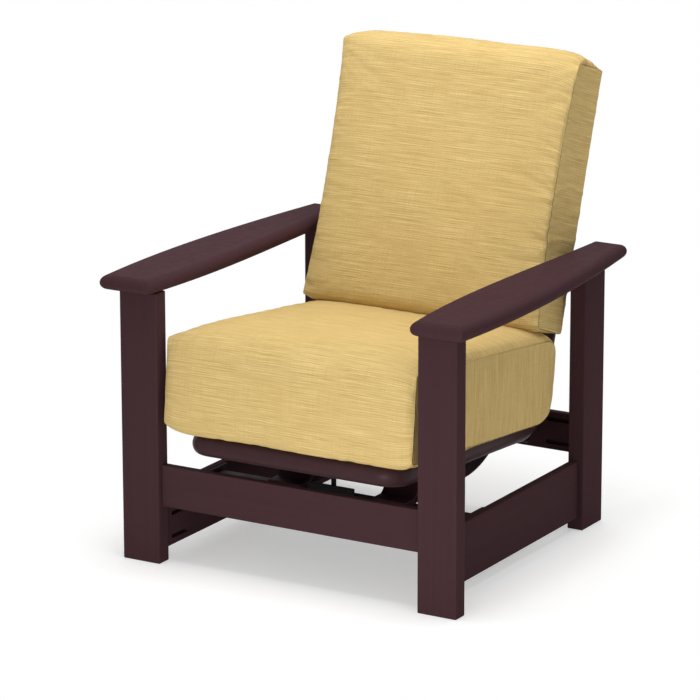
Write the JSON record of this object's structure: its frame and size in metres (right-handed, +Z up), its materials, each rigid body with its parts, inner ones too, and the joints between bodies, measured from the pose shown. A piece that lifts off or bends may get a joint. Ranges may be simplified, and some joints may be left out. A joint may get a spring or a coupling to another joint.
{
  "type": "glider chair",
  "caption": "Outdoor lounge glider with board legs and broad arms, a bent tube seat and back frame on flat springs, and thick loose seat and back cushions.",
  "frame": {"origin": "on the floor, under the middle of the chair's box", "axes": "+Z up, front of the chair towards -Y, +X towards the arm on the right as seen from the front"},
  "size_m": [0.8668, 0.898, 1.0127],
  "materials": {
    "plastic_board": "satin",
    "frame_paint": "satin",
    "spring_paint": "satin",
    "zinc_steel": "satin",
    "black_steel": "satin",
    "black_rubber": "matte",
    "woven_fabric": "matte"
  },
  "bodies": {
    "base": {"front_leg_left": "plastic_board", "front_leg_right": "plastic_board", "rear_leg_left": "plastic_board", "rear_leg_right": "plastic_board", "side_rail_left": "plastic_board", "side_rail_right": "plastic_board", "front_rail": "plastic_board", "rear_rail": "plastic_board", "arm_left": "plastic_board", "arm_right": "plastic_board", "rail_bolt_1": "zinc_steel", "rail_bolt_2": "zinc_steel", "rail_bolt_3": "zinc_steel", "rail_bolt_4": "zinc_steel", "rail_bolt_5": "zinc_steel", "rail_bolt_6": "zinc_steel", "rail_bolt_7": "zinc_steel", "rail_bolt_8": "zinc_steel", "rail_bolt_9": "zinc_steel", "rail_bolt_10": "zinc_steel", "rail_bolt_11": "zinc_steel", "rail_bolt_12": "zinc_steel", "rail_bolt_13": "zinc_steel", "rail_bolt_14": "zinc_steel", "rail_bolt_15": "zinc_steel", "rail_bolt_16": "zinc_steel", "crossbar": "spring_paint", "crossbar_clamp_left": "spring_paint", "crossbar_clamp_right": "spring_paint", "front_spring_left": "spring_paint", "front_spring_right": "spring_paint", "rear_spring_left": "spring_paint", "rear_spring_right": "spring_paint", "stop_bracket": "black_steel", "stop_post": "black_steel", "stop_cap": "black_rubber"},
    "seat_unit": {"seat_back_frame": "frame_paint", "front_saddle": "frame_paint", "rear_saddle": "frame_paint", "front_saddle_clamp_left": "zinc_steel", "front_saddle_clamp_right": "zinc_steel", "rear_saddle_clamp_left": "zinc_steel", "rear_saddle_clamp_right": "zinc_steel", "seat_slat_1": "frame_paint", "seat_slat_2": "frame_paint", "seat_slat_3": "frame_paint", "seat_slat_4": "frame_paint", "seat_slat_5": "frame_paint", "seat_slat_6": "frame_paint", "back_slat_1": "frame_paint", "back_slat_2": "frame_paint", "back_slat_3": "frame_paint", "back_slat_4": "frame_paint", "seat_cushion": "woven_fabric", "back_cushion": "woven_fabric"}
  },
  "joints": [
    {"name": "seat_rock", "type": "hinge", "parent": "base", "child": "seat_unit", "pos_m": [0, -0.18946, 0.14107], "axis": [-1, 0, 0], "range_deg": [-5, 8], "stiffness_Nm_per_rad": 1200, "springref_deg": -2.57, "deforming": ["front_spring_left", "front_spring_right", "rear_spring_left", "rear_spring_right"]}
  ]
}
